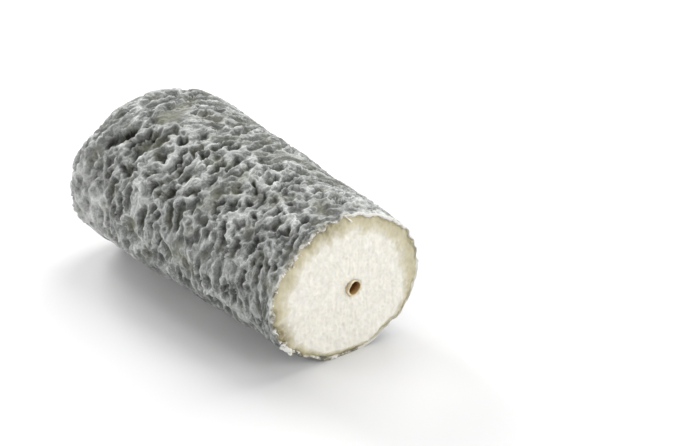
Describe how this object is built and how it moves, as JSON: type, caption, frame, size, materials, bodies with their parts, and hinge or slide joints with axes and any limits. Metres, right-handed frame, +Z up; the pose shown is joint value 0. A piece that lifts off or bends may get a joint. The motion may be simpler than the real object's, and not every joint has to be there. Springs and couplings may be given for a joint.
{
  "type": "cut goat's cheese log on a straw",
  "caption": "Tapered log of soft goat's cheese with a wrinkled ash-grey rind, cut square across at the thin end to show white paste, with a hollow rye straw running through its middle.",
  "frame": {"origin": "on the surface that the log lies on, under the middle of the whole's bounding box", "axes": "+X along the log towards its cut face, +Z up"},
  "size_m": [0.1067, 0.0578, 0.0535],
  "materials": {
    "ash_rind": "dull wrinkled mould rind, grey with ash, paler on the crests; ivory paste at the cut",
    "cut_paste": "matt ivory curd, fine-grained, creamier in a band under the rind",
    "rye_straw": "dry straw, satin outside, darker in the bore"
  },
  "bodies": {
    "root": {"cheese": "ash_rind", "straw": "rye_straw"}
  },
  "joints": []
}
